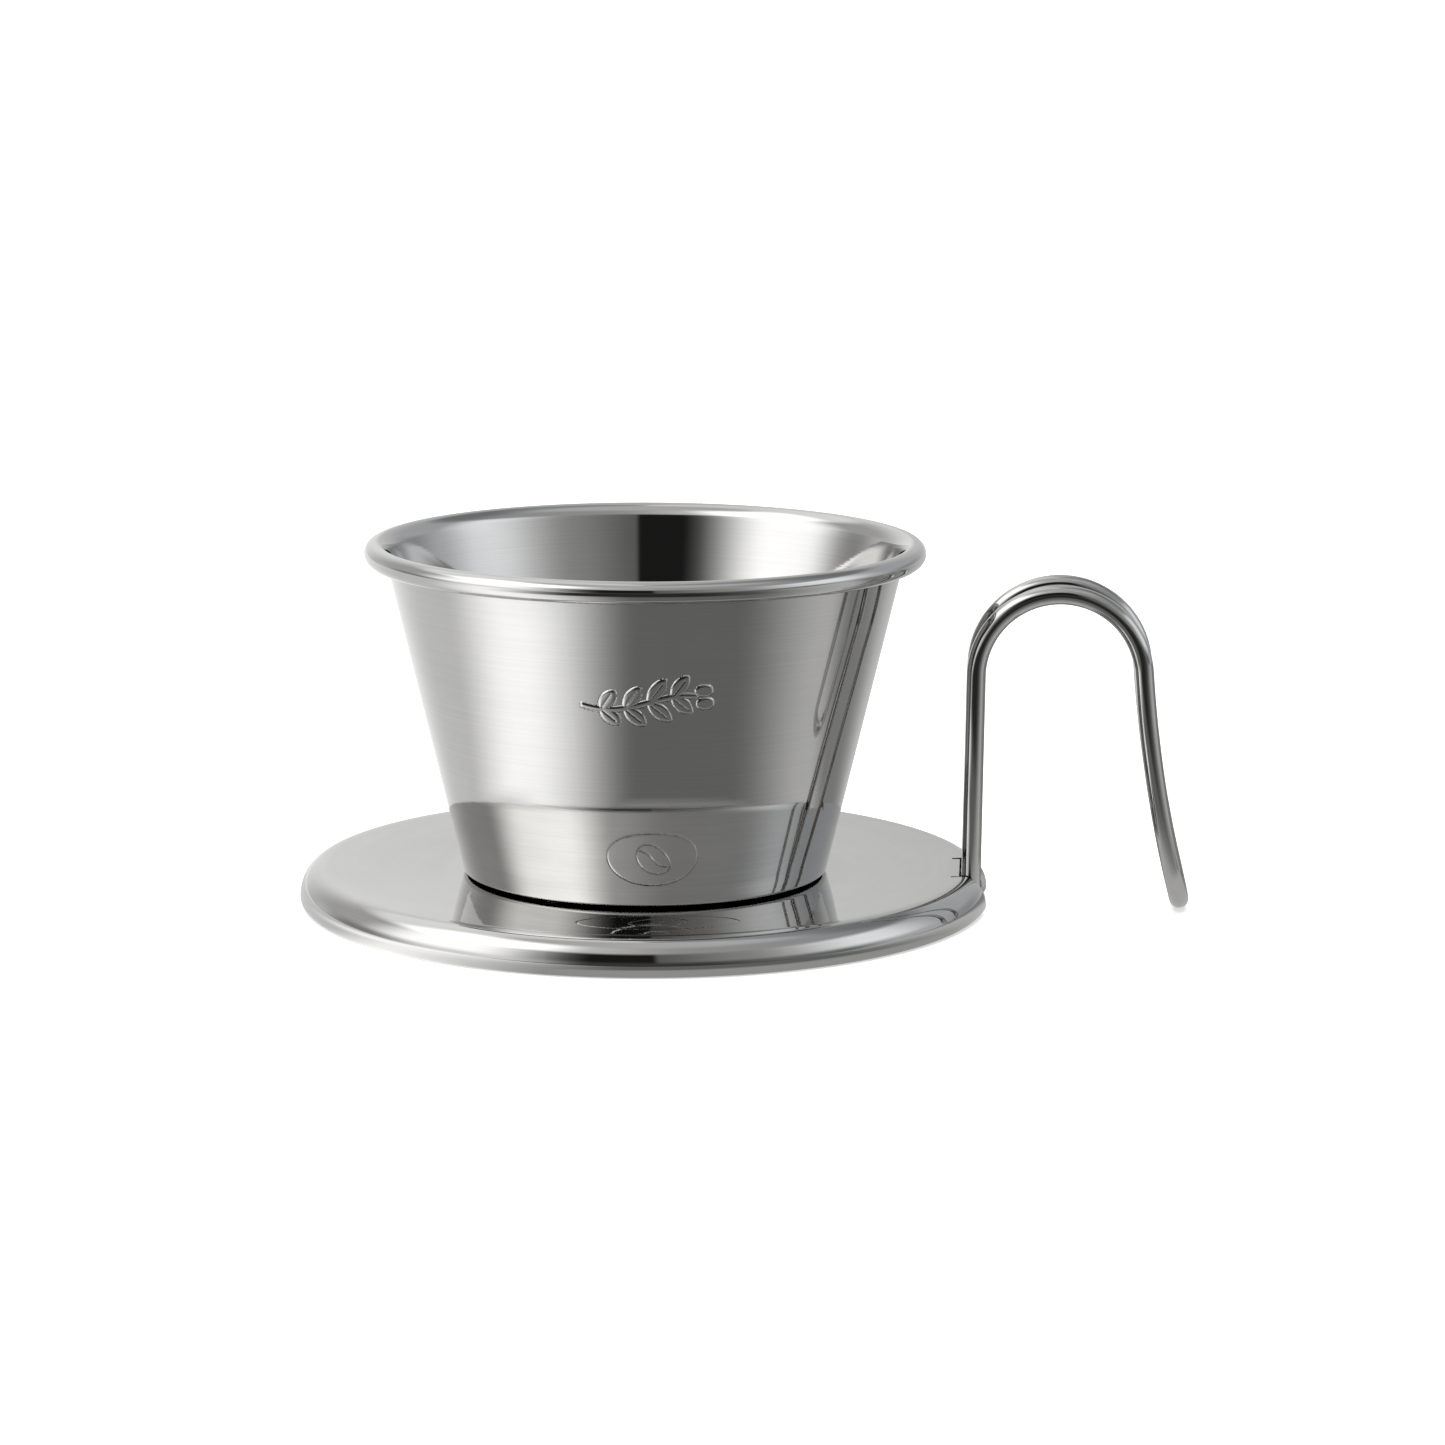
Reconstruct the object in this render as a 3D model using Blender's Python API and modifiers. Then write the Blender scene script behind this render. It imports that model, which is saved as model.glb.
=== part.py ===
"""Pour over coffee dripper in polished stainless steel.

A tapered cup with a curled rim stands on a round, slightly dished saucer with a
rounded, turned down edge. A single wire, bent double, comes up through a notch in
that edge, arches over and hangs down as an open handle. Metres, +Z up, +X towards the
handle. The saucer rests on z = 0, and the origin is under the middle of the whole object.
"""

import math

import bmesh
import bpy
from mathutils import Vector

COLLECTION = "pour_over_dripper"

# Saucer, pressed from one sheet: a seat for the cup, a shallow dish round it that rises
# to a rounded shoulder, and a hem turned in below.
SAUCER_RADIUS = 0.0545
SAUCER_SHEET = 0.0008
SAUCER_TOP = 0.0048
SEAT_RADIUS = 0.0305
SAUCER_OPENING = 0.021
SHOULDER_TOP = 0.00595
SHOULDER_REACH = 0.0036
HEM_RADIUS = 0.0014
HEM_END_RADIUS = 0.0515

# Notch that lets the handle wires down through the turned edge.
NOTCH_HALF_WIDTH = 0.0071
NOTCH_INNER = 0.0490
TAB_HALF_WIDTH = 0.0064
TAB_OUTER = 0.04975

# Cup, drawn from one sheet. Wall radii are those of its outer face.
CUP_SHEET = 0.0007
CUP_BOTTOM = 0.0051
CUP_BASE_RADIUS = 0.02865
CUP_MOUTH_RADIUS = 0.04080
CUP_MOUTH_HEIGHT = 0.05575
CUP_CORNER = 0.0007
RIM_RADIUS = 0.04397
RIM_TUBE = 0.00175
RIM_FLARE = 0.0030
RIM_END = -130.0

# Floor of the cup: three drip holes between the arms of a raised Y.
DRIP_HOLES = 3
DRIP_HOLE_RADIUS = 0.0018
DRIP_HOLE_CIRCLE = 0.0100
RIDGE_END = 0.0185
RIDGE_WIDTH = 0.0024
RIDGE_HEIGHT = 0.0012

# Handle, one wire. It lies in two parallel upright planes joined by a U at its free end.
WIRE_RADIUS = 0.00153
WIRE_SPACING = 0.0106
FOOT_END_X = 0.0380
FOOT_BEND = 0.0022
STEM_FOOT_X = 0.0516
ARCH_RADIUS = 0.01305
ARCH_CENTRE_X = 0.06505
ARCH_CENTRE_HEIGHT = 0.03745
LEG_LENGTH = 0.0321
LEG_LEAN_TOP = 4.5
LEG_LEAN_END = 13.6
LEG_STEPS = 8
U_STEPS = 12

# Weld metal that holds the three pieces together.
CLEARANCE = 0.0003
WELD_LENGTH = 0.0100
WELD_RADIUS = 0.00052
NUGGETS = 3
NUGGET_CIRCLE = 0.0240
NUGGET_RADIUS = 0.0020
NUGGET_THICKNESS = 0.0001

TURN_STEPS = 60
ARC_STEP = 15.0
MERGE = 0.00001


def clear_scene():
    for item in list(bpy.data.objects):
        bpy.data.objects.remove(item, do_unlink=True)


def new_collection(name):
    collection = bpy.data.collections.new(name)
    bpy.context.scene.collection.children.link(collection)
    return collection


def steel(name, roughness, tone=0.62):
    material = bpy.data.materials.new(name)
    material.use_nodes = True
    shader = material.node_tree.nodes["Principled BSDF"]
    shader.inputs["Base Color"].default_value = (tone, tone * 0.99, tone * 0.97, 1.0)
    shader.inputs["Metallic"].default_value = 1.0
    shader.inputs["Roughness"].default_value = roughness
    material.diffuse_color = (tone, tone * 0.99, tone * 0.97, 1.0)
    return material


def add_object(name, data, collection, parent=None, material=None):
    item = bpy.data.objects.new(name, data)
    collection.objects.link(item)
    item.parent = parent
    if material is not None:
        data.materials.append(material)
    return item


def as_cutter(item):
    item.hide_render = True
    item.display_type = "WIRE"
    return item


def boolean(target, other, operation):
    modifier = target.modifiers.new(other.name, "BOOLEAN")
    modifier.operation = operation
    modifier.solver = "EXACT"
    modifier.object = other


def arc(centre, radius, start, end, step=ARC_STEP):
    """Points (radius from the axis, height) along an arc, its angles in degrees."""
    count = max(1, round(abs(end - start) / step))
    points = []
    for index in range(count + 1):
        angle = math.radians(start + (end - start) * index / count)
        points.append((centre[0] + radius * math.cos(angle), centre[1] + radius * math.sin(angle)))
    return points


def turned_shell(name, profile, thickness, collection, parent, material):
    """A sheet turned about +Z: the profile is the middle of the sheet."""
    mesh = bpy.data.meshes.new(name)
    shape = bmesh.new()
    corners = [shape.verts.new((radius, 0.0, height)) for radius, height in profile]
    for first, second in zip(corners, corners[1:]):
        shape.edges.new((first, second))
    shape.to_mesh(mesh)
    shape.free()
    item = add_object(name, mesh, collection, parent, material)
    screw = item.modifiers.new("turn", "SCREW")
    screw.axis = "Z"
    screw.steps = TURN_STEPS
    screw.render_steps = TURN_STEPS
    screw.use_merge_vertices = True
    screw.merge_threshold = MERGE
    solidify = item.modifiers.new("sheet", "SOLIDIFY")
    solidify.thickness = thickness
    solidify.offset = 0.0
    solidify.use_even_offset = True
    return item


def box(name, low, high, collection, parent):
    """A closed box from its low corner to its high corner."""
    low = Vector(low)
    high = Vector(high)
    size = high - low
    middle = (low + high) / 2
    mesh = bpy.data.meshes.new(name)
    shape = bmesh.new()
    bmesh.ops.create_cube(shape, size=1.0)
    for vertex in shape.verts:
        vertex.co = Vector(a * b for a, b in zip(vertex.co, size)) + middle
    shape.to_mesh(mesh)
    shape.free()
    return add_object(name, mesh, collection, parent)


def disc(name, radius, thickness, centre, segments, collection, parent, material=None):
    mesh = bpy.data.meshes.new(name)
    shape = bmesh.new()
    bmesh.ops.create_cone(shape, cap_ends=True, segments=segments, radius1=radius,
                          radius2=radius, depth=thickness)
    shape.to_mesh(mesh)
    shape.free()
    item = add_object(name, mesh, collection, parent, material)
    item.location = centre
    return item


def dish_height(radius):
    """Height of the saucer's upper face between the cup's seat and the shoulder."""
    span = SAUCER_RADIUS - SHOULDER_REACH - SEAT_RADIUS
    return SAUCER_TOP + (SHOULDER_TOP - SAUCER_TOP) * (radius - SEAT_RADIUS) / span


def saucer_profile():
    """The seat, the dish, an oval shoulder down to the widest place, and the hem."""
    half = SAUCER_SHEET / 2
    centre = SAUCER_RADIUS - SHOULDER_REACH
    across = SHOULDER_REACH - half
    drop = SHOULDER_TOP - half - HEM_RADIUS
    points = [(SAUCER_OPENING, SAUCER_TOP - half), (SEAT_RADIUS, SAUCER_TOP - half)]
    for x, height in arc((0.0, 0.0), 1.0, 90.0, 0.0):
        points.append((centre + across * x, HEM_RADIUS + drop * height))
    points += arc((SAUCER_RADIUS - HEM_RADIUS, HEM_RADIUS), HEM_RADIUS - half, 0.0, -90.0, 22.5)[1:]
    points.append((HEM_END_RADIUS, half))
    return points


def make_saucer(parts, cutters, parent):
    saucer = turned_shell("base_plate", saucer_profile(), SAUCER_SHEET, parts, parent,
                          steel("base_plate_steel", 0.10))
    reach = SAUCER_RADIUS + SHOULDER_REACH
    notch = box("notch_cutter", (NOTCH_INNER, -NOTCH_HALF_WIDTH, -SAUCER_TOP),
                (reach, NOTCH_HALF_WIDTH, 2 * SAUCER_TOP), cutters, parent)
    boolean(saucer, as_cutter(notch), "DIFFERENCE")
    overlap = NOTCH_INNER - SAUCER_SHEET
    tab_top = dish_height(NOTCH_INNER)
    tab = box("notch_tab", (overlap, -TAB_HALF_WIDTH, tab_top - SAUCER_SHEET),
              (TAB_OUTER, TAB_HALF_WIDTH, tab_top), cutters, parent)
    boolean(saucer, as_cutter(tab), "UNION")
    return saucer


def wall_radius(height):
    """Radius of the cup wall's outer face."""
    slope = (CUP_MOUTH_RADIUS - CUP_BASE_RADIUS) / (CUP_MOUTH_HEIGHT - CUP_BOTTOM)
    return CUP_BASE_RADIUS + slope * (height - CUP_BOTTOM)


def cup_profile():
    """Floor, bottom corner, straight tapered wall, flared lip and curled rim."""
    half = CUP_SHEET / 2
    slope = (CUP_MOUTH_RADIUS - CUP_BASE_RADIUS) / (CUP_MOUTH_HEIGHT - CUP_BOTTOM)
    taper = math.atan(slope)
    floor = CUP_BOTTOM + half
    corner = CUP_CORNER - half
    corner_height = floor + corner
    corner_centre = (wall_radius(corner_height) - CUP_CORNER / math.cos(taper), corner_height)
    points = [(0.0, floor)]
    points += arc(corner_centre, corner, -90.0, -math.degrees(taper), 20.0)

    tube = RIM_TUBE - half
    rim_centre = Vector((RIM_RADIUS - RIM_TUBE, CUP_MOUTH_HEIGHT))
    outward = Vector((math.cos(taper), -math.sin(taper)))
    upward = Vector((math.sin(taper), math.cos(taper)))
    on_wall = Vector((wall_radius(CUP_MOUTH_HEIGHT) - half / math.cos(taper), CUP_MOUTH_HEIGHT))
    distance = (rim_centre - on_wall).dot(outward)
    across = RIM_FLARE - distance
    along = math.sqrt((RIM_FLARE - tube) ** 2 - across ** 2)
    flare_centre = rim_centre + across * outward - along * upward
    flare_start = 180.0 - math.degrees(taper)
    flare_end = flare_start - math.degrees(math.atan2(along, across))
    points += arc(flare_centre, RIM_FLARE, flare_start, flare_end)
    points += arc(rim_centre, tube, flare_end, RIM_END, 18.0)[1:]
    return points


def make_ridge(cutters, parent):
    """A Y-shaped prism for the raised ridge in the cup's floor, its arms between the holes."""
    shape = bmesh.new()
    outline = []
    for index in range(DRIP_HOLES):
        turn = math.tau * index / DRIP_HOLES
        half_way = turn + math.pi / DRIP_HOLES
        tip = RIDGE_END * Vector((math.cos(turn), math.sin(turn), 0.0))
        aside = RIDGE_WIDTH / 2 * Vector((-math.sin(turn), math.cos(turn), 0.0))
        root = RIDGE_WIDTH / 2 / math.sin(math.pi / DRIP_HOLES)
        inner = root * Vector((math.cos(half_way), math.sin(half_way), 0.0))
        outline += [tip - aside, tip + aside, inner]
    face = shape.faces.new([shape.verts.new(corner) for corner in outline])
    raised = bmesh.ops.extrude_face_region(shape, geom=[face])["geom"]
    rise = Vector((0.0, 0.0, CUP_SHEET / 2 + RIDGE_HEIGHT))
    bmesh.ops.translate(shape, vec=rise, verts=[item for item in raised
                                                if isinstance(item, bmesh.types.BMVert)])
    bmesh.ops.recalc_face_normals(shape, faces=shape.faces)
    mesh = bpy.data.meshes.new("floor_ridge")
    shape.to_mesh(mesh)
    shape.free()
    ridge = add_object("floor_ridge", mesh, cutters, parent)
    ridge.location.z = CUP_BOTTOM + CUP_SHEET / 2
    return as_cutter(ridge)


def make_cup(parts, cutters, parent):
    cup = turned_shell("cup", cup_profile(), CUP_SHEET, parts, parent, steel("cup_steel", 0.12))
    boolean(cup, make_ridge(cutters, parent), "UNION")
    floor_middle = CUP_BOTTOM + CUP_SHEET / 2
    for index in range(DRIP_HOLES):
        turn = math.tau * index / DRIP_HOLES
        place = (-DRIP_HOLE_CIRCLE * math.cos(turn), DRIP_HOLE_CIRCLE * math.sin(turn), floor_middle)
        hole = disc(f"drip_hole_{index + 1}", DRIP_HOLE_RADIUS, 4 * CUP_SHEET, place, 16,
                    cutters, parent)
        boolean(cup, as_cutter(hole), "DIFFERENCE")
    return cup


def foot_centre_height():
    """The wire's foot lies close under the dish at its inner end."""
    return dish_height(FOOT_END_X) - SAUCER_SHEET - CLEARANCE - WIRE_RADIUS


def handle_side():
    """Centre line (x, height) of one of the wire's two runs, from its foot to its U."""
    foot_height = foot_centre_height()
    bend_centre = (STEM_FOOT_X - FOOT_BEND, foot_height + FOOT_BEND)
    points = [(FOOT_END_X, foot_height)]
    points += arc(bend_centre, FOOT_BEND, -90.0, 0.0, 18.0)
    points += arc((ARCH_CENTRE_X, ARCH_CENTRE_HEIGHT), ARCH_RADIUS, 180.0, LEG_LEAN_TOP, 11.0)
    x, height = points[-1]
    for index in range(LEG_STEPS):
        part_way = (index + 0.5) / LEG_STEPS
        lean = math.radians(LEG_LEAN_TOP + (LEG_LEAN_END - LEG_LEAN_TOP) * part_way)
        x += LEG_LENGTH / LEG_STEPS * math.sin(lean)
        height -= LEG_LENGTH / LEG_STEPS * math.cos(lean)
        points.append((x, height))
    return points


def handle_path():
    """The whole wire: rear foot up and over, round the U, and back to the front foot."""
    side = handle_side()
    half = WIRE_SPACING / 2
    end = Vector((side[-1][0], 0.0, side[-1][1]))
    lean = math.radians(LEG_LEAN_END)
    down = Vector((math.sin(lean), 0.0, -math.cos(lean)))
    path = [Vector((x, half, height)) for x, height in side]
    for index in range(1, U_STEPS):
        angle = math.pi * index / U_STEPS
        across = Vector((0.0, half * math.cos(angle), 0.0))
        path.append(end + half * math.sin(angle) * down + across)
    path += [Vector((x, -half, height)) for x, height in reversed(side)]
    return path


def make_handle(parts, parent):
    path = handle_path()
    curve = bpy.data.curves.new("handle_wire", "CURVE")
    curve.dimensions = "3D"
    curve.bevel_depth = WIRE_RADIUS
    curve.bevel_resolution = 4
    curve.use_fill_caps = True
    spline = curve.splines.new("POLY")
    spline.points.add(len(path) - 1)
    for point, place in zip(spline.points, path):
        point.co = (*place, 1.0)
    return add_object("handle_wire", curve, parts, parent, steel("handle_steel", 0.16, 0.56))


def make_handle_weld(name, side, parts, parent):
    """Weld metal in the corner between a wire foot and the saucer's underside."""
    gap = CLEARANCE / 2
    x = FOOT_END_X + WELD_LENGTH * 0.6
    height = dish_height(x) - SAUCER_SHEET - gap - WELD_RADIUS
    reach = WIRE_RADIUS + gap + WELD_RADIUS
    across = math.sqrt(reach ** 2 - (height - foot_centre_height()) ** 2)
    mesh = bpy.data.meshes.new(name)
    shape = bmesh.new()
    bmesh.ops.create_uvsphere(shape, u_segments=12, v_segments=8, radius=WELD_RADIUS)
    for vertex in shape.verts:
        vertex.co.x *= WELD_LENGTH / 2 / WELD_RADIUS
    shape.to_mesh(mesh)
    shape.free()
    mesh.shade_smooth()
    item = add_object(name, mesh, parts, parent, steel(name + "_metal", 0.4, 0.45))
    item.location = (x, side * (WIRE_SPACING / 2 + across), height)
    return item


def make_nugget(index, parts, parent):
    """A spot of weld metal between the cup's floor and the saucer."""
    turn = math.tau * index / NUGGETS
    height = (SAUCER_TOP + CUP_BOTTOM) / 2
    place = (NUGGET_CIRCLE * math.cos(turn), NUGGET_CIRCLE * math.sin(turn), height)
    name = f"cup_weld_{index + 1}"
    return disc(name, NUGGET_RADIUS, NUGGET_THICKNESS, place, 16, parts, parent,
                steel(name + "_metal", 0.4, 0.45))


def main():
    clear_scene()
    parts = new_collection(COLLECTION)
    cutters = new_collection(COLLECTION + "_cutters")
    wire_reach = WIRE_RADIUS * math.cos(math.radians(LEG_LEAN_END))
    reach = max(point.x for point in handle_path()) + wire_reach
    axis = bpy.data.objects.new("cup_axis", None)
    axis.location.x = (SAUCER_RADIUS - reach) / 2
    parts.objects.link(axis)
    make_saucer(parts, cutters, axis)
    make_cup(parts, cutters, axis)
    make_handle(parts, axis)
    make_handle_weld("handle_weld_front", -1, parts, axis)
    make_handle_weld("handle_weld_rear", 1, parts, axis)
    for index in range(NUGGETS):
        make_nugget(index, parts, axis)


main()
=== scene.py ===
"""Looks of the pour over dripper: fine pressed sheet, drawn wire, polished steel, studio.

Lengths are in metres unless a name ends in _MM. Named angles are in degrees, except the
camera's. The cup's axis is upright at AXIS_X.
"""

import math

import bmesh
import bpy
from mathutils import Matrix, Vector


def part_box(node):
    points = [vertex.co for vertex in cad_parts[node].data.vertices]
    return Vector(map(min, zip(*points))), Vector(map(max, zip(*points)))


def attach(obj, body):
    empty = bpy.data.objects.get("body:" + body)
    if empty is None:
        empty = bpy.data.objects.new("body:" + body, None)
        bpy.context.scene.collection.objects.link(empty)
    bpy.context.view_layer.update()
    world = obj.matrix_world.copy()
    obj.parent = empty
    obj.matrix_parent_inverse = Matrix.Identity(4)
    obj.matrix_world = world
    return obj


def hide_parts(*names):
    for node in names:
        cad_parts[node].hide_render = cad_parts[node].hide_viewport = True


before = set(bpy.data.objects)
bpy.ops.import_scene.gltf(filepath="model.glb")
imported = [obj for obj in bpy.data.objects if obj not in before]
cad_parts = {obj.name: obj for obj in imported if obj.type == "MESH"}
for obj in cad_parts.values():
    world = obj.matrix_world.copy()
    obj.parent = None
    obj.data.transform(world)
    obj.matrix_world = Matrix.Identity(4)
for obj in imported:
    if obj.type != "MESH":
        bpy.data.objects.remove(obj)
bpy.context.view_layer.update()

MM = 0.001

# Places read from the CAD model.
SAUCER_LOW, SAUCER_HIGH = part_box("base_plate")
CUP_LOW, CUP_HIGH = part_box("cup")
WIRE_LOW, WIRE_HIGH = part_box("handle_wire")
SAUCER_RADIUS = (SAUCER_HIGH.y - SAUCER_LOW.y) / 2
AXIS_X = SAUCER_LOW.x + SAUCER_RADIUS
CUP_BOTTOM = CUP_LOW.z
RIM_RADIUS = (CUP_HIGH.y - CUP_LOW.y) / 2

# Saucer.
SAUCER_SHEET = 0.8 * MM
SAUCER_TOP = CUP_BOTTOM - 0.3 * MM
SAUCER_OPENING = 21 * MM
SEAT_RADIUS = 30.5 * MM
SHOULDER_TOP = SAUCER_HIGH.z
SHOULDER_REACH = 3.6 * MM
HEM_RADIUS = 1.4 * MM
HEM_END_RADIUS = 51.5 * MM
NOTCH_HALF_WIDTH = 7.1 * MM
NOTCH_INNER = 49 * MM
TAB_HALF_WIDTH = 6.4 * MM
TAB_OUTER = 49.75 * MM

# Cup.
CUP_SHEET = 0.7 * MM
CUP_BASE_RADIUS = 28.65 * MM
CUP_MOUTH_RADIUS = 40.8 * MM
RIM_TUBE = 1.75 * MM
CUP_MOUTH_HEIGHT = CUP_HIGH.z - RIM_TUBE
CUP_SLOPE = (CUP_MOUTH_RADIUS - CUP_BASE_RADIUS) / (CUP_MOUTH_HEIGHT - CUP_BOTTOM)
CUP_TAPER = math.atan(CUP_SLOPE)
CUP_CORNER = 0.7 * MM
RIM_FLARE = 3 * MM
RIM_END = -130.0
DRIP_HOLES = 3
DRIP_HOLE_RADIUS = 1.8 * MM
DRIP_HOLE_CIRCLE = 10 * MM
RIDGE_END = 18.5 * MM
RIDGE_RADIUS = 1.2 * MM

# Handle.
WIRE_RADIUS = 1.53 * MM
WIRE_SPACING = WIRE_HIGH.y - WIRE_LOW.y - 2 * WIRE_RADIUS
FOOT_END_X = WIRE_LOW.x - AXIS_X
FOOT_HEIGHT = WIRE_LOW.z + WIRE_RADIUS
FOOT_BEND = 2.2 * MM
STEM_FOOT_X = 51.6 * MM
ARCH_RADIUS = 13.05 * MM
ARCH_CENTRE_X = 65.05 * MM
ARCH_CENTRE_HEIGHT = 37.45 * MM
LEG_LENGTH = 32.1 * MM
LEG_LEAN_TOP = 4.5
LEG_LEAN_END = 13.6

# Embossed sprig on the cup's wall and engraved oval on the saucer.
SPRIG_AZIMUTH = -85.3
SPRIG_HEIGHT = 38.8 * MM
SPRIG_RELIEF_MM = 0.24
SPRIG_HALF_SIZE_MM = (11.5, 5.6)
STEM_SWAY_MM = 1.1
STEM_SWAY_PITCH = 0.27
STEM_DROP_MM = 0.5
STEM_MIDDLE_MM = -1.2
STEM_HALF_LENGTH_MM = 8.8
STEM_HALF_WIDTH_MM = 0.30
LEAF_STARTS_MM = (-7.0, -3.4, 0.2, 3.8)
LEAF_LENGTH_MM = 4.6
LEAF_SHORTENING = 0.14
LEAF_WIDTH_MM = 1.9
LEAF_ANGLE = 48.0
LEAF_TILT = 8.0
VEIN_HALF_WIDTH_MM = 0.10
VEIN_DEPTH = 0.55
BERRY_PLACES_MM = ((8.6, 1.35), (8.9, -0.75))
BERRY_HALF_SIZE_MM = (1.25, 0.85)
OVAL_AZIMUTH = -82.9
OVAL_RADIUS = 40 * MM
OVAL_HALF_SIZE_MM = (12.2, 5.9)
OVAL_DEPTH_MM = 0.10
BEAN_HALF_SIZE_MM = (4.6, 3.0)
BEAN_SLANT = 0.5
BEAN_SCALE = 1.12
SEAM_SWAY_MM = 0.5
SEAM_SWAY_PITCH = 0.75
SEAM_HALF_LENGTH_MM = 4.1
ENGRAVED_HALF_WIDTH_MM = 0.10

COARSE_TURN = 1.5
FINE_TURN = 0.22
FINE_ROW = 0.14 * MM


# ---------------------------------------------------------------- profiles

def arc(centre, radius, start, end, step=4.0):
    """Points (radius from the axis, height) along an arc, its angles in degrees."""
    count = max(1, round(abs(end - start) / step))
    points = []
    for index in range(count + 1):
        angle = math.radians(start + (end - start) * index / count)
        points.append((centre[0] + radius * math.cos(angle), centre[1] + radius * math.sin(angle)))
    return points


def run(start, end, step):
    """Evenly spaced points from start to end, both included."""
    count = max(1, math.ceil(math.dist(start, end) / step))
    return [tuple(a + (b - a) * index / count for a, b in zip(start, end))
            for index in range(count + 1)]


def dish_height(radius):
    """Height of the saucer's upper face: the cup's seat, then a shallow dish."""
    span = SAUCER_RADIUS - SHOULDER_REACH - SEAT_RADIUS
    part_way = max(0.0, (radius - SEAT_RADIUS) / span)
    return SAUCER_TOP + (SHOULDER_TOP - SAUCER_TOP) * part_way


def saucer_profile():
    """Middle of the saucer's sheet: seat, dish, oval shoulder and the hem turned in."""
    half = SAUCER_SHEET / 2
    centre = SAUCER_RADIUS - SHOULDER_REACH
    drop = SHOULDER_TOP - half - HEM_RADIUS
    engraved = OVAL_HALF_SIZE_MM[1] * MM + 3 * FINE_ROW
    reaches = [SAUCER_OPENING, SEAT_RADIUS, OVAL_RADIUS - engraved]
    reaches += [r for r, _ in run((reaches[-1], 0), (OVAL_RADIUS + engraved, 0), FINE_ROW)[1:]]
    reaches += [NOTCH_INNER, (NOTCH_INNER + centre) / 2]
    points = [(reach, dish_height(reach) - half) for reach in reaches]
    for x, height in arc((0.0, 0.0), 1.0, 90.0, 0.0):
        points.append((centre + (SHOULDER_REACH - half) * x, HEM_RADIUS + drop * height))
    points += arc((SAUCER_RADIUS - HEM_RADIUS, HEM_RADIUS), HEM_RADIUS - half, 0.0, -90.0, 6.0)[1:]
    points.append((HEM_END_RADIUS, half))
    return points


def wall_radius(height):
    """Radius of the cup wall's outer face."""
    return CUP_BASE_RADIUS + CUP_SLOPE * (height - CUP_BOTTOM)


def cup_profile():
    """Middle of the cup's sheet from the edge of its floor to the end of its curled rim."""
    half = CUP_SHEET / 2
    slant = math.cos(CUP_TAPER)
    corner_height = CUP_BOTTOM + CUP_CORNER
    corner_centre = (wall_radius(corner_height) - CUP_CORNER / slant, corner_height)
    points = arc(corner_centre, CUP_CORNER - half, -90.0, -math.degrees(CUP_TAPER), 8.0)

    tube = RIM_TUBE - half
    rim_centre = Vector((RIM_RADIUS - RIM_TUBE, CUP_MOUTH_HEIGHT))
    outward = Vector((slant, -math.sin(CUP_TAPER)))
    upward = Vector((math.sin(CUP_TAPER), slant))
    on_wall = Vector((wall_radius(CUP_MOUTH_HEIGHT) - half / slant, CUP_MOUTH_HEIGHT))
    across = RIM_FLARE - (rim_centre - on_wall).dot(outward)
    along = math.sqrt((RIM_FLARE - tube) ** 2 - across ** 2)
    flare_centre = rim_centre + across * outward - along * upward
    flare_start = 180.0 - math.degrees(CUP_TAPER)
    flare_end = flare_start - math.degrees(math.atan2(along, across))
    flare = arc(flare_centre, RIM_FLARE, flare_start, flare_end)

    low = Vector(points[-1])
    high = Vector(flare[0])
    mark_rise = SPRIG_HALF_SIZE_MM[1] * MM * slant
    marked_low = low.lerp(high, (SPRIG_HEIGHT - mark_rise - low.y) / (high.y - low.y))
    marked_high = low.lerp(high, (SPRIG_HEIGHT + mark_rise - low.y) / (high.y - low.y))
    points += run(low, marked_low, 2 * MM)[1:]
    points += run(marked_low, marked_high, FINE_ROW)[1:]
    points += run(marked_high, high, 1.5 * MM)[1:]
    points += flare[1:]
    points += arc(rim_centre, tube, flare_end, RIM_END, 5.0)[1:]
    return points


# ---------------------------------------------------------------- reliefs

def plateau(distance, edge):
    """1 inside a shape, 0 outside, with a smooth step as wide as twice edge."""
    part_way = min(1.0, max(0.0, 0.5 - distance / (2 * edge)))
    return part_way * part_way * (3 - 2 * part_way)


def leaf_distance(point, root, heading, length, width):
    """Signed distance in millimetres to a pointed leaf that grows from its root."""
    direction = Vector((math.cos(math.radians(heading)), math.sin(math.radians(heading))))
    from_middle = point - root - direction * length / 2
    along = from_middle.dot(direction)
    across = abs(from_middle.dot(Vector((-direction.y, direction.x))))
    bow = ((length / 2) ** 2 + (width / 2) ** 2) / width
    return math.hypot(along, across + bow - width / 2) - bow


def vein_distance(point, root, heading, length):
    """Distance to the middle line of a leaf."""
    direction = Vector((math.cos(math.radians(heading)), math.sin(math.radians(heading))))
    offset = point - root
    along = min(length * 0.8, max(length * 0.12, offset.dot(direction)))
    return (offset - direction * along).length


def oval_distance(point, half_size):
    """Signed distance, close to the edge, of an oval about the origin."""
    scaled = Vector((point.x / half_size[0], point.y / half_size[1]))
    slope = Vector((scaled.x / half_size[0], scaled.y / half_size[1])).length
    return (scaled.length - 1) * scaled.length / max(slope, 1e-6)


def stem_height(along):
    """Height of the gently swaying stem of the sprig, in millimetres."""
    return STEM_SWAY_MM * math.sin(along * STEM_SWAY_PITCH) - STEM_DROP_MM


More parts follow.
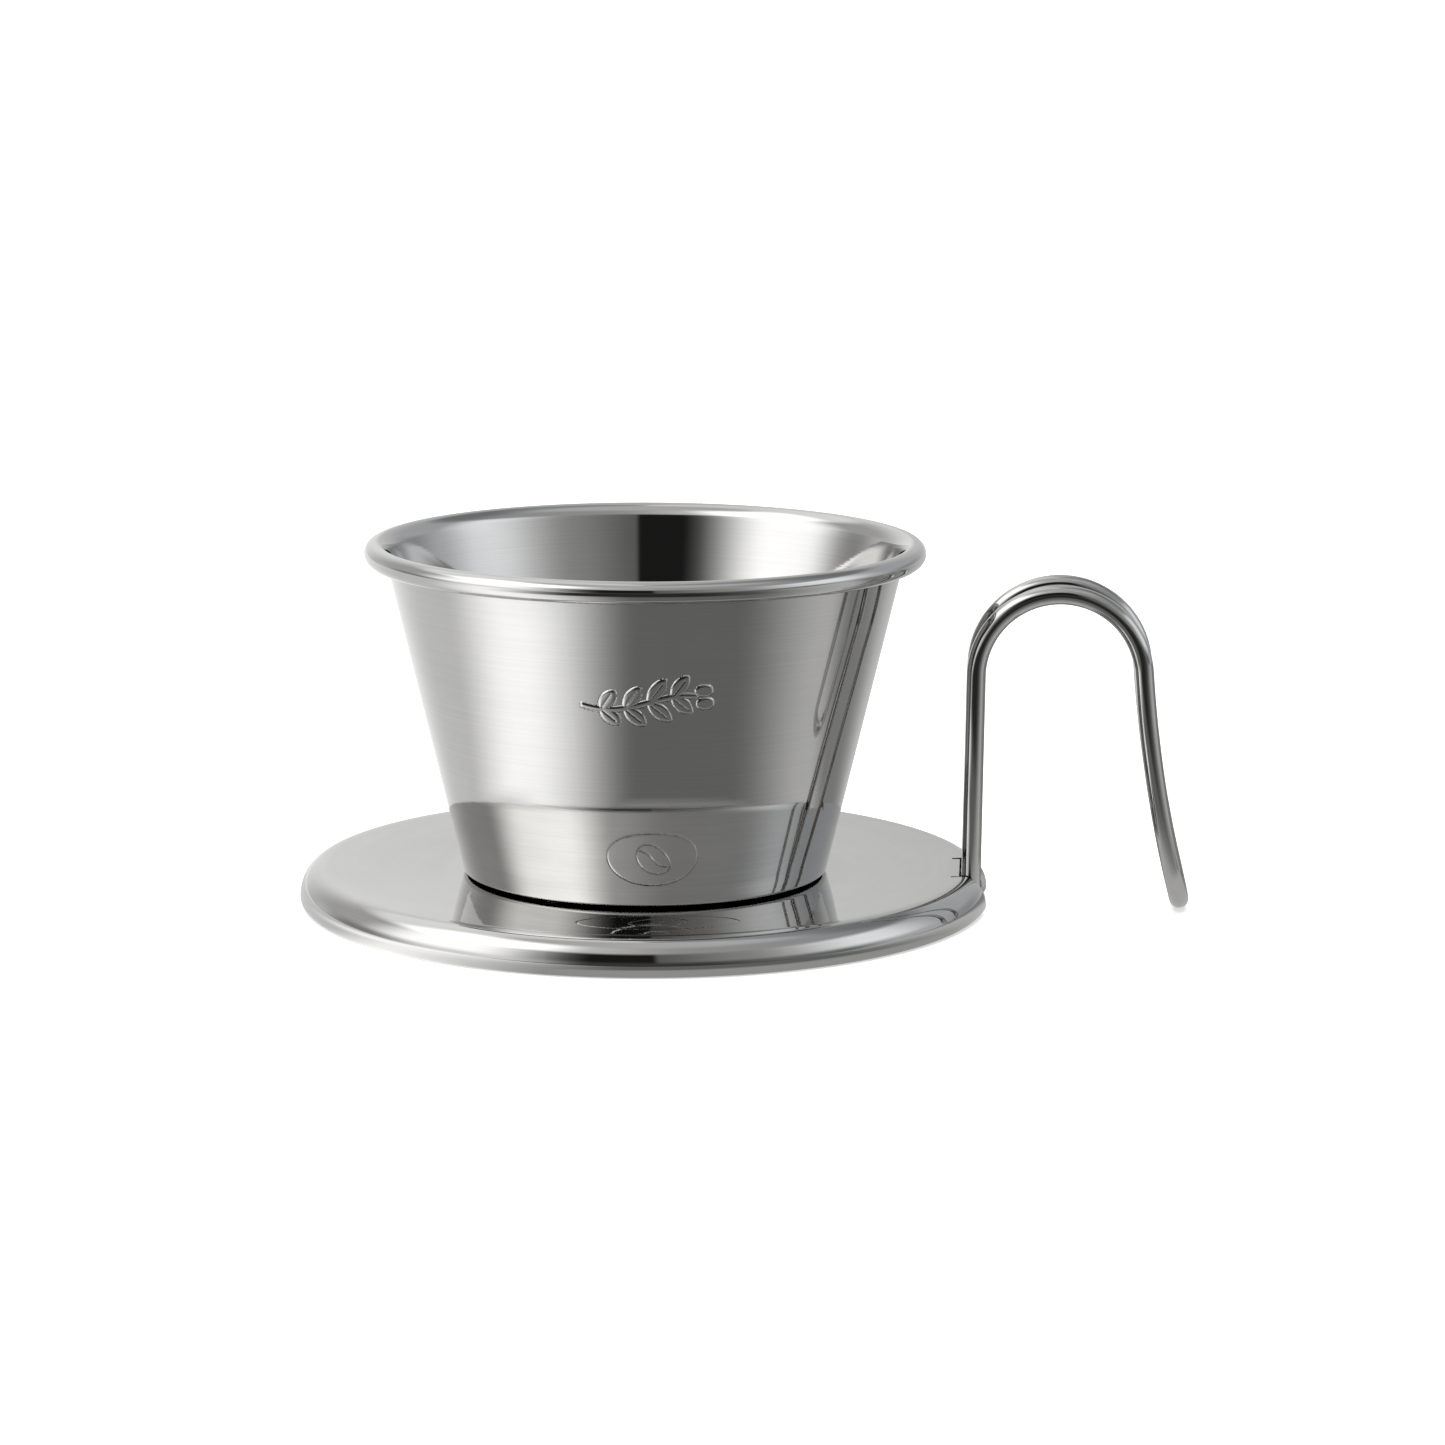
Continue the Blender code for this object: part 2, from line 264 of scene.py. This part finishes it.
def sprig_relief(point):
    """Height of the embossed sprig: a stem, pairs of leaves and two berries."""
    if abs(point.x) > SPRIG_HALF_SIZE_MM[0] or abs(point.y) > SPRIG_HALF_SIZE_MM[1]:
        return 0.0
    slope = math.atan(STEM_SWAY_PITCH * STEM_SWAY_MM * math.cos(point.x * STEM_SWAY_PITCH))
    stem = abs(point.y - stem_height(point.x)) * math.cos(slope) - STEM_HALF_WIDTH_MM
    stem = max(stem, abs(point.x - STEM_MIDDLE_MM) - STEM_HALF_LENGTH_MM)
    nearest = stem
    vein = 9.0
    for start in LEAF_STARTS_MM:
        root = Vector((start, stem_height(start)))
        length = LEAF_LENGTH_MM - LEAF_SHORTENING * abs(start)
        for heading in (LEAF_TILT + LEAF_ANGLE, LEAF_TILT - LEAF_ANGLE):
            nearest = min(nearest, leaf_distance(point, root, heading, length, LEAF_WIDTH_MM))
            vein = min(vein, vein_distance(point, root, heading, length))
    for place in BERRY_PLACES_MM:
        nearest = min(nearest, oval_distance(point - Vector(place), BERRY_HALF_SIZE_MM))
    groove = VEIN_DEPTH * plateau(vein - VEIN_HALF_WIDTH_MM, 0.12)
    return SPRIG_RELIEF_MM * (plateau(nearest, 0.14) - groove)


def oval_relief(point):
    """Depth of the engraving: an oval line round a coffee bean."""
    ring = abs(oval_distance(point, OVAL_HALF_SIZE_MM)) - ENGRAVED_HALF_WIDTH_MM
    turned = Vector(((point.x + point.y * BEAN_SLANT) / BEAN_SCALE,
                     (point.y - point.x * BEAN_SLANT) / BEAN_SCALE))
    bean = abs(oval_distance(turned, BEAN_HALF_SIZE_MM)) - ENGRAVED_HALF_WIDTH_MM
    seam = abs(turned.y - SEAM_SWAY_MM * math.sin(turned.x * SEAM_SWAY_PITCH))
    seam = max(seam * 0.9 - ENGRAVED_HALF_WIDTH_MM, abs(turned.x) - SEAM_HALF_LENGTH_MM)
    return -OVAL_DEPTH_MM * plateau(min(ring, bean, seam), 0.09)


# ---------------------------------------------------------------- meshes

def turn_angles(fine_centre, fine_half, start=0.0, end=360.0):
    """Angles round the axis, close together in the marked sector."""
    fine_low = fine_centre - fine_half
    fine_high = fine_centre + fine_half
    angles = [start + (fine_low - start) * i / round((fine_low - start) / COARSE_TURN)
              for i in range(round((fine_low - start) / COARSE_TURN))]
    count = round((fine_high - fine_low) / FINE_TURN)
    angles += [fine_low + (fine_high - fine_low) * i / count for i in range(count)]
    count = round((end - fine_high) / COARSE_TURN)
    angles += [fine_high + (end - fine_high) * i / count for i in range(count + 1)]
    return [math.radians(angle) for angle in angles]


def profile_normals(profile):
    """Unit normals on the side that the profile's outer face is on."""
    normals = []
    for index in range(len(profile)):
        before = Vector(profile[max(0, index - 1)])
        after = Vector(profile[min(len(profile) - 1, index + 1)])
        step = (after - before).normalized()
        normals.append(Vector((step.y, -step.x)))
    return normals


def add_grid(shape, rows):
    """Quads between rows of points that all have the same length."""
    corners = [[shape.verts.new(point) for point in row] for row in rows]
    for low, high in zip(corners, corners[1:]):
        for i in range(len(low) - 1):
            shape.faces.new((low[i], low[i + 1], high[i + 1], high[i]))


def as_mesh(name, shape):
    mesh = bpy.data.meshes.new(name)
    shape.to_mesh(mesh)
    shape.free()
    return mesh


def settled_mesh(item):
    """The item's mesh with its modifiers applied, shaded smooth up to its real edges."""
    bpy.context.view_layer.update()
    graph = bpy.context.evaluated_depsgraph_get()
    mesh = bpy.data.meshes.new_from_object(item.evaluated_get(graph))
    mesh.shade_smooth()
    mesh.set_sharp_from_angle(angle=math.radians(50))
    return mesh


def add_piece(name, data, replaced=()):
    item = bpy.data.objects.new(name, data)
    bpy.context.scene.collection.objects.link(item)
    item.location.x = AXIS_X
    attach(item, "root")
    if replaced:
        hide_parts(*replaced)
    return item


def as_sheet(name, shape, thickness, replaced):
    """A closed sheet of the given thickness about an open middle surface."""
    bmesh.ops.remove_doubles(shape, verts=shape.verts, dist=0.002 * MM)
    bmesh.ops.recalc_face_normals(shape, faces=shape.faces)
    item = add_piece(name, as_mesh(name, shape), replaced)
    solidify = item.modifiers.new("sheet", "SOLIDIFY")
    solidify.thickness = thickness
    solidify.offset = 0.0
    mesh = settled_mesh(item)
    item.modifiers.clear()
    item.data = mesh
    return item


def on_circle(radius, height, angle):
    return Vector((radius * math.cos(angle), radius * math.sin(angle), height))


def make_saucer():
    """The saucer: dish, shoulder, hem and notch on one grid, with a tab in the notch."""
    profile = saucer_profile()
    corner = math.degrees(math.asin(NOTCH_HALF_WIDTH / NOTCH_INNER))
    tab_corner = math.degrees(math.asin(TAB_HALF_WIDTH / NOTCH_INNER))
    half_turn = math.degrees(OVAL_HALF_SIZE_MM[0] * MM / OVAL_RADIUS) + 1.5
    sweep = turn_angles(OVAL_AZIMUTH + 360.0, half_turn, corner, 360.0 - corner)
    tab_angles = [math.radians(-tab_corner + 2 * tab_corner * i / 8) for i in range(9)]
    bridge = [math.radians(-corner)] + tab_angles + [math.radians(corner)]
    middle = math.radians(OVAL_AZIMUTH)
    shape = bmesh.new()

    def dish_point(radius, height, angle):
        turned = (angle - middle + math.pi) % math.tau - math.pi
        across = radius * math.sin(turned) / MM
        deep = (radius * math.cos(turned) - OVAL_RADIUS) / MM
        drop = 0.0
        if abs(deep) < OVAL_HALF_SIZE_MM[1] + 1 and abs(across) < OVAL_HALF_SIZE_MM[0] + 1:
            drop = oval_relief(Vector((across, -deep))) * MM
        return on_circle(radius, height + drop, angle)

    inner = [point for point in profile if point[0] <= NOTCH_INNER + 1e-9]
    outer = profile[len(inner) - 1:]
    add_grid(shape, [[dish_point(*point, angle) for angle in sweep] for point in inner])
    add_grid(shape, [[on_circle(*point, angle) for angle in bridge] for point in inner])
    rows = []
    for radius, height in outer:
        stop = math.asin(NOTCH_HALF_WIDTH / radius)
        scale = (math.pi - stop) / (math.pi - math.radians(corner))
        rows.append([on_circle(radius, height, math.pi + (angle - math.pi) * scale)
                     for angle in sweep])
    add_grid(shape, rows)
    tab_height = inner[-1][1]
    tab_rows = [[on_circle(*inner[-1], angle) for angle in tab_angles]]
    for part_way in (0.25, 0.5, 0.75, 1.0):
        x = NOTCH_INNER + (TAB_OUTER - NOTCH_INNER) * part_way
        tab_rows.append([Vector((x, NOTCH_INNER * math.sin(angle), tab_height))
                         for angle in tab_angles])
    add_grid(shape, tab_rows)
    return as_sheet("saucer_sheet", shape, SAUCER_SHEET, ["base_plate"])


def add_floor(shape, radius, height, angles):
    """The cup's flat floor with its drip holes, from flat outlines."""
    outlines = [[on_circle(radius, height, angle) for angle in angles[:-1]]]
    for index in range(DRIP_HOLES):
        turn = math.tau * index / DRIP_HOLES + math.pi
        centre = on_circle(DRIP_HOLE_CIRCLE, height, turn)
        outlines.append([centre + on_circle(DRIP_HOLE_RADIUS, 0.0, math.tau * i / 40)
                         for i in range(40)])
    edges = []
    for outline in outlines:
        corners = [shape.verts.new(point) for point in outline]
        edges += [shape.edges.new((corners[i - 1], corners[i])) for i in range(len(corners))]
    bmesh.ops.triangle_fill(shape, use_beauty=True, edges=edges, normal=(0.0, 0.0, -1.0))


def make_cup():
    """The cup's wall and rim on one grid, its mark embossed, closed by the floor."""
    profile = cup_profile()
    normals = profile_normals(profile)
    reach = wall_radius(SPRIG_HEIGHT)
    half_turn = math.degrees(SPRIG_HALF_SIZE_MM[0] * MM / reach)
    angles = turn_angles(SPRIG_AZIMUTH + 360.0, half_turn)
    middle = math.radians(SPRIG_AZIMUTH)
    shape = bmesh.new()
    rows = []
    for (radius, height), normal in zip(profile, normals):
        up = (height - SPRIG_HEIGHT) / MM / math.cos(CUP_TAPER)
        marked = abs(up) < SPRIG_HALF_SIZE_MM[1] + 0.5 and radius < CUP_MOUTH_RADIUS
        row = []
        for angle in angles:
            lift = 0.0
            if marked:
                turned = (angle - middle + math.pi) % math.tau - math.pi
                lift = sprig_relief(Vector((turned * reach / MM, up))) * MM
            row.append(on_circle(radius + normal.x * lift, height + normal.y * lift, angle))
        rows.append(row)
    add_grid(shape, rows)
    add_floor(shape, *profile[0], angles)
    return as_sheet("cup_sheet", shape, CUP_SHEET, ["cup"])


def make_floor_ridges():
    """The raised Y in the cup's floor: three round ribs, pressed up from below."""
    floor_top = CUP_BOTTOM + CUP_SHEET
    ribs = []
    for index in range(DRIP_HOLES):
        turn = math.tau * index / DRIP_HOLES
        curve = bpy.data.curves.new(f"floor_ridge_{index + 1}", "CURVE")
        curve.dimensions = "3D"
        curve.bevel_depth = RIDGE_RADIUS
        curve.bevel_resolution = 8
        spline = curve.splines.new("POLY")
        count = 24
        spline.points.add(count)
        for i, point in enumerate(spline.points):
            part_way = i / count
            place = on_circle(RIDGE_END * part_way, floor_top, turn)
            point.co = (*place, 1.0)
            point.radius = math.sqrt(max(0.0, 1.0 - part_way ** 6))
        ribs.append(add_piece(curve.name, settle_curve(curve)))
    return ribs


def settle_curve(curve):
    """The mesh of a curve, smooth shaded."""
    holder = bpy.data.objects.new(curve.name, curve)
    bpy.context.scene.collection.objects.link(holder)
    mesh = settled_mesh(holder)
    bpy.data.objects.remove(holder)
    return mesh


def handle_path():
    """The wire's centre line: rear foot, over, round the U, and back to the front foot."""
    half = WIRE_SPACING / 2
    bend_centre = (STEM_FOOT_X - FOOT_BEND, FOOT_HEIGHT + FOOT_BEND)
    side = [(FOOT_END_X, FOOT_HEIGHT), (FOOT_END_X + 6 * MM, FOOT_HEIGHT)]
    side += arc(bend_centre, FOOT_BEND, -90.0, 0.0, 6.0)
    side += run(side[-1], (ARCH_CENTRE_X - ARCH_RADIUS, ARCH_CENTRE_HEIGHT), 6 * MM)[1:-1]
    side += arc((ARCH_CENTRE_X, ARCH_CENTRE_HEIGHT), ARCH_RADIUS, 180.0, LEG_LEAN_TOP, 3.0)
    x, height = side[-1]
    steps = 40
    for index in range(steps):
        lean = math.radians(LEG_LEAN_TOP + (LEG_LEAN_END - LEG_LEAN_TOP) * (index + 0.5) / steps)
        x += LEG_LENGTH / steps * math.sin(lean)
        height -= LEG_LENGTH / steps * math.cos(lean)
        side.append((x, height))
    end = Vector((x, 0.0, height))
    lean = math.radians(LEG_LEAN_END)
    down = Vector((math.sin(lean), 0.0, -math.cos(lean)))
    path = [Vector((x, half, height)) for x, height in side]
    turns = 40
    for index in range(1, turns):
        angle = math.pi * index / turns
        across = Vector((0.0, half * math.cos(angle), 0.0))
        path.append(end + half * math.sin(angle) * down + across)
    path += [Vector((x, -half, height)) for x, height in reversed(side)]
    return path


def make_handle():
    path = handle_path()
    curve = bpy.data.curves.new("handle", "CURVE")
    curve.dimensions = "3D"
    curve.bevel_depth = WIRE_RADIUS
    curve.bevel_resolution = 10
    curve.use_fill_caps = True
    spline = curve.splines.new("POLY")
    spline.points.add(len(path) - 1)
    for point, place in zip(spline.points, path):
        point.co = (*place, 1.0)
    return add_piece("handle", settle_curve(curve), ["handle_wire"])


def make_bead(name, node):
    """A rippled weld bead in the place of its CAD node."""
    low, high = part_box(node)
    centre = (low + high) / 2
    half = (high - low) / 2
    shape = bmesh.new()
    bmesh.ops.create_uvsphere(shape, u_segments=96, v_segments=24, radius=1.0)
    for vertex in shape.verts:
        along = vertex.co.x
        ripple = 1.0 - 0.10 * (0.5 + 0.5 * math.cos(along * 40.0))
        vertex.co = Vector((along * half.x, vertex.co.y * half.y * ripple,
                            vertex.co.z * half.z * ripple))
    mesh = as_mesh(name, shape)
    mesh.shade_smooth()
    item = add_piece(name, mesh, [node])
    item.location = centre
    return item


# ---------------------------------------------------------------- materials

class Nodes:
    """Short ways to add and join the nodes of one tree."""

    def __init__(self, tree):
        self.tree = tree

    def add(self, kind, **inputs):
        node = self.tree.nodes.new(kind)
        for name, value in inputs.items():
            self.put(node.inputs[name.replace("_", " ")], value)
        return node

    def put(self, socket, value):
        if isinstance(value, bpy.types.NodeSocket):
            self.tree.links.new(value, socket)
        else:
            socket.default_value = value

    def math(self, operation, *values):
        node = self.tree.nodes.new("ShaderNodeMath")
        node.operation = operation
        for socket, value in zip(node.inputs, values):
            self.put(socket, value)
        return node.outputs[0]

    def ease(self, value, low, high, start=0.0, end=1.0):
        """Goes smoothly from start to end as value goes from low to high."""
        node = self.tree.nodes.new("ShaderNodeMapRange")
        node.interpolation_type = "SMOOTHSTEP"
        for name, number in (("Value", value), ("From Min", low), ("From Max", high),
                             ("To Min", start), ("To Max", end)):
            self.put(node.inputs[name], number)
        return node.outputs[0]

    def band(self, value, low, high, soft):
        """1 between low and high, falling to 0 over the width soft on either side."""
        rise = self.ease(value, low - soft, low)
        fall = self.ease(value, high, high + soft, 1.0, 0.0)
        return self.math("MULTIPLY", rise, fall)

    def blend(self, factor, first, second):
        node = self.tree.nodes.new("ShaderNodeMix")
        node.data_type = "FLOAT"
        self.put(node.inputs["Factor"], factor)
        self.put(node.inputs["A"], first)
        self.put(node.inputs["B"], second)
        return node.outputs["Result"]

    def around(self, azimuth, start, *changes):
        """start at -180 degrees, then (from, to, value): a soft change between two azimuths."""
        level = start
        for low, high, value in changes:
            level = self.blend(self.ease(azimuth, low, high), level, value)
        return level


def steel(name, tone, roughness, brushed, grain, lines, line_depth):
    """Stainless steel. brushed is the anisotropy, grain the brush lines' scale along X, Y and
    Z per metre, lines how much rougher they are and line_depth the strength of their bump."""
    material = bpy.data.materials.new(name)
    material.use_nodes = True
    nodes = Nodes(material.node_tree)
    shader = material.node_tree.nodes["Principled BSDF"]
    place = nodes.add("ShaderNodeTexCoord").outputs["Object"]
    stretched = nodes.add("ShaderNodeMapping", Vector=place, Scale=grain).outputs["Vector"]
    brush = nodes.add("ShaderNodeTexNoise", Vector=stretched, Scale=1.0, Detail=4.0,
                      Roughness=0.6).outputs["Fac"]
    blotch = nodes.add("ShaderNodeTexNoise", Vector=place, Scale=90.0, Detail=3.0).outputs["Fac"]
    rough = nodes.math("MULTIPLY_ADD", blotch, roughness * 0.5, roughness * 0.75)
    nodes.put(shader.inputs["Roughness"], nodes.math("MULTIPLY_ADD", brush, lines, rough))
    bump = nodes.add("ShaderNodeBump", Height=brush, Strength=line_depth, Distance=0.02 * MM)
    nodes.put(shader.inputs["Normal"], bump.outputs["Normal"])
    tint = nodes.add("ShaderNodeMix")
    tint.data_type = "RGBA"
    nodes.put(tint.inputs["Factor"], nodes.ease(blotch, 0.3, 0.7))
    nodes.put(tint.inputs["A"], (tone, tone * 0.992, tone * 0.975, 1.0))
    nodes.put(tint.inputs["B"], (tone * 0.97, tone * 0.965, tone * 0.955, 1.0))
    streaks = nodes.add("ShaderNodeVectorMath")
    streaks.operation = "SCALE"
    nodes.put(streaks.inputs[0], tint.outputs["Result"])
    nodes.put(streaks.inputs["Scale"], nodes.ease(brush, 0.3, 0.7, 0.975, 1.02))
    nodes.put(shader.inputs["Base Color"], streaks.outputs["Vector"])
    shader.inputs["Metallic"].default_value = 1.0
    if brushed:
        tangent = nodes.add("ShaderNodeTangent")
        tangent.direction_type = "RADIAL"
        tangent.axis = "Z"
        nodes.put(shader.inputs["Tangent"], tangent.outputs["Tangent"])
        shader.inputs["Anisotropic"].default_value = brushed
        shader.inputs["Anisotropic Rotation"].default_value = 0.25
    return material


def dress(item, material):
    item.data.materials.clear()
    item.data.materials.append(material)


# ---------------------------------------------------------------- studio

def studio_direction(nodes):
    """Azimuth (degrees, 0 towards the viewer, positive to the right) and elevation."""
    direction = nodes.add("ShaderNodeTexCoord").outputs["Generated"]
    parts = nodes.add("ShaderNodeSeparateXYZ", Vector=direction).outputs
    across = nodes.math("ARCTAN2", parts["X"], nodes.math("MULTIPLY", parts["Y"], -1.0))
    azimuth = nodes.math("DEGREES", across)
    elevation = nodes.math("DEGREES", nodes.math("ARCSINE", parts["Z"]))
    return azimuth, elevation


def studio_level(nodes, azimuth):
    """Brightness just above the horizon: a large light on the left, a smaller one on the right."""
    return nodes.around(azimuth, 0.64, (-180.0, -171.0, 0.9), (-165.0, -125.0, 0.52),
                        (-108.0, -78.0, 1.7), (-58.0, -20.0, 0.15), (5.0, 45.0, 0.36),
                        (38.0, 86.0, 1.18), (90.0, 124.0, 0.52), (150.0, 180.0, 0.64))


def horizon_level(nodes, azimuth):
    """Brightness at the horizon, which the saucer's steep side mirrors."""
    return nodes.around(azimuth, 0.65, (-130.0, -108.0, 0.3), (-100.0, -68.0, 1.05),
                        (-48.0, -12.0, 0.06), (20.0, 55.0, 0.2), (72.0, 95.0, 0.57),
                        (115.0, 135.0, 0.36))


def upper_level(nodes, azimuth):
    """Brightness higher up, with the top of the large light on the left."""
    level = nodes.around(azimuth, 0.65, (-180.0, -150.0, 1.1), (-130.0, -60.0, 0.85),
                         (-35.0, 25.0, 0.43), (80.0, 125.0, 0.25), (150.0, 180.0, 0.65))
    return nodes.blend(nodes.band(azimuth, -84.0, -50.0, 34.0), level, 2.4)


def ceiling_level(nodes, azimuth):
    """Brightness overhead."""
    return nodes.around(azimuth, 0.62, (-180.0, -150.0, 0.95), (-115.0, -80.0, 0.62),
                        (85.0, 125.0, 0.38), (150.0, 180.0, 0.62))


def make_world():
    """Mirrors see soft lights to the sides and darkness at the front; the camera sees white."""
    world = bpy.data.worlds.new("studio")
    bpy.context.scene.world = world
    world.use_nodes = True
    nodes = Nodes(world.node_tree)
    azimuth, elevation = studio_direction(nodes)
    level = studio_level(nodes, azimuth)
    viewer = nodes.math("MULTIPLY", nodes.ease(azimuth, -27.0, -13.0),
                        nodes.ease(azimuth, 6.5, 9.5, 1.0, 0.0))
    level = nodes.blend(viewer, level, 0.015)
    low = nodes.math("MULTIPLY", nodes.band(azimuth, -130.0, 140.0, 20.0),
                     nodes.ease(elevation, 3.5, 14.5, 1.0, 0.0))
    level = nodes.blend(low, level, horizon_level(nodes, azimuth))
    level = nodes.blend(nodes.ease(elevation, 32.0, 42.0), level, upper_level(nodes, azimuth))
    level = nodes.blend(nodes.ease(elevation, 52.0, 68.0), level, ceiling_level(nodes, azimuth))

    cool = nodes.math("MULTIPLY", nodes.ease(azimuth, 20.0, 120.0),
                      nodes.ease(azimuth, 140.0, 180.0, 1.0, 0.0))
    colour = nodes.add("ShaderNodeCombineColor", Green=level,
                       Red=nodes.math("MULTIPLY", level, nodes.blend(cool, 1.0, 0.97)),
                       Blue=nodes.math("MULTIPLY", level, nodes.blend(cool, 0.99, 1.04)))
    seen = nodes.add("ShaderNodeMix")
    seen.data_type = "RGBA"
    nodes.put(seen.inputs["Factor"], nodes.add("ShaderNodeLightPath").outputs["Is Camera Ray"])
    nodes.put(seen.inputs["A"], colour.outputs["Color"])
    nodes.put(seen.inputs["B"], (1.0, 1.0, 1.0, 1.0))
    background = world.node_tree.nodes["Background"]
    nodes.put(background.inputs["Color"], seen.outputs["Result"])


def glow_material(name, build):
    """A surface that only gives light; build(nodes) returns its brightness."""
    material = bpy.data.materials.new(name)
    material.use_nodes = True
    tree = material.node_tree
    tree.nodes.clear()
    nodes = Nodes(tree)
    glow = nodes.add("ShaderNodeEmission", Strength=build(nodes))
    output = nodes.add("ShaderNodeOutputMaterial")
    tree.links.new(glow.outputs[0], output.inputs["Surface"])
    return material


def table_glow(nodes):
    """Painted brightness of the lit table top that the steel mirrors, round the cup's axis; nearly
    dark under the saucer, a painted shadow.
    """
    place = nodes.add("ShaderNodeTexCoord").outputs["Object"]
    parts = nodes.add("ShaderNodeSeparateXYZ", Vector=place).outputs
    away = nodes.math("MULTIPLY", parts["Y"], -1.0)
    azimuth = nodes.math("DEGREES", nodes.math("ARCTAN2", parts["X"], away))
    reach = nodes.math("SQRT", nodes.math("ADD", nodes.math("MULTIPLY", parts["X"], parts["X"]),
                                          nodes.math("MULTIPLY", away, away)))
    level = nodes.around(azimuth, 0.8, (-180.0, -160.0, 1.0), (-150.0, -105.0, 0.77),
                         (-90.0, -54.0, 1.56), (-49.0, 2.0, 0.18), (40.0, 85.0, 0.62),
                         (88.0, 104.0, 0.28), (115.0, 150.0, 0.6), (155.0, 180.0, 0.8))
    far = nodes.math("MULTIPLY", nodes.ease(reach, 110 * MM, 170 * MM),
                     nodes.ease(nodes.math("ABSOLUTE", azimuth), 20.0, 65.0, 1.0, 0.0))
    level = nodes.blend(far, level, 0.03)
    left_edge = nodes.math("MULTIPLY", nodes.ease(reach, 57 * MM, 67 * MM, 1.0, 0.0),
                           nodes.band(azimuth, -120.0, -64.0, 26.0))
    level = nodes.blend(left_edge, level, 0.75)
    near = nodes.ease(reach, 57 * MM, 66 * MM, 0.44, 0.0)
    level = nodes.math("MAXIMUM", level, near)
    # Painted shadow: the glow falls almost to nothing under the saucer's edge, where the saucer
    # shades the table.
    return nodes.math("MULTIPLY", level, nodes.ease(reach, 46 * MM, 55 * MM, 0.04, 1.0))


def add_plane(name, size, height, material):
    shape = bmesh.new()
    bmesh.ops.create_grid(shape, x_segments=1, y_segments=1, size=size / 2)
    mesh = as_mesh(name, shape)
    item = bpy.data.objects.new(name, mesh)
    bpy.context.scene.collection.objects.link(item)
    item.location = (AXIS_X, 0.0, height)
    mesh.materials.append(material)
    return item


def make_floor():
    """A pale floor for the eye, and the table glow that only mirrors see."""
    material = bpy.data.materials.new("pale_floor")
    material.use_nodes = True
    shader = material.node_tree.nodes["Principled BSDF"]
    shader.inputs["Base Color"].default_value = (0.9, 0.9, 0.9, 1.0)
    shader.inputs["Roughness"].default_value = 0.9
    shader.inputs["Emission Color"].default_value = (1.0, 1.0, 1.0, 1.0)
    shader.inputs["Emission Strength"].default_value = 0.45
    floor = add_plane("floor", 60.0, 0.0, material)
    floor.visible_glossy = False
    card = add_plane("table_glow", 60.0, -0.02 * MM, glow_material("table_glow", table_glow))
    card.visible_camera = False
    card.visible_diffuse = False
    card.visible_shadow = False


def make_lights():
    """Overhead light that lifts the floor to white; mirrors see the world instead."""
    data = bpy.data.lights.new("overhead", "AREA")
    data.shape = "DISK"
    data.size = 1.6
    data.energy = 22.0
    light = bpy.data.objects.new("overhead", data)
    light.location = (AXIS_X, 0.0, 1.4)
    light.visible_glossy = False
    bpy.context.scene.collection.objects.link(light)


def make_camera():
    """A long lens at a little over ten degrees, standing a little towards the handle's side."""
    distance = 751.4 * MM
    pitch, yaw, roll = 0.1855, -0.059, 0.004  # radians
    target = Vector((AXIS_X + 12.2 * MM, 0.0, 28.6 * MM))
    sideways = Vector((math.cos(yaw), -math.sin(yaw), 0.0))
    ahead = Vector((math.sin(yaw), math.cos(yaw), 0.0))
    forward = math.cos(pitch) * ahead - math.sin(pitch) * Vector((0.0, 0.0, 1.0))
    level_up = sideways.cross(forward)
    right = math.cos(roll) * sideways + math.sin(roll) * level_up
    up = -math.sin(roll) * sideways + math.cos(roll) * level_up
    data = bpy.data.cameras.new("camera")
    data.sensor_width = 36.0
    data.lens = 118.9
    data.clip_start = 0.01
    camera = bpy.data.objects.new("camera", data)
    turn = Matrix((right, up, -forward)).transposed().to_4x4()
    camera.matrix_world = Matrix.Translation(target - forward * distance) @ turn
    bpy.context.scene.collection.objects.link(camera)
    bpy.context.scene.camera = camera


def main():
    bpy.context.scene.view_settings.view_transform = "Standard"
    make_camera()
    make_world()
    make_lights()
    make_floor()

    cup_finish = steel("cup_polish", tone=0.60, roughness=0.028, brushed=0.3,
                       grain=(25, 25, 4000), lines=0.03, line_depth=0.08)
    saucer_finish = steel("saucer_polish", tone=0.60, roughness=0.022, brushed=0.0,
                          grain=(40, 40, 5000), lines=0.01, line_depth=0.02)
    wire_finish = steel("wire_polish", tone=0.56, roughness=0.06, brushed=0.0,
                        grain=(900, 900, 60), lines=0.04, line_depth=0.03)
    weld_finish = steel("weld_bead", tone=0.45, roughness=0.35, brushed=0.0,
                        grain=(2500, 900, 900), lines=0.15, line_depth=0.3)

    dress(make_saucer(), saucer_finish)
    dress(make_cup(), cup_finish)
    for ridge in make_floor_ridges():
        dress(ridge, cup_finish)
    dress(make_handle(), wire_finish)
    dress(make_bead("weld_bead_front", "handle_weld_front"), weld_finish)
    dress(make_bead("weld_bead_rear", "handle_weld_rear"), weld_finish)
    for name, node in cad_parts.items():
        if name.startswith("cup_weld"):
            dress(node, weld_finish)
    bpy.context.view_layer.update()


main()
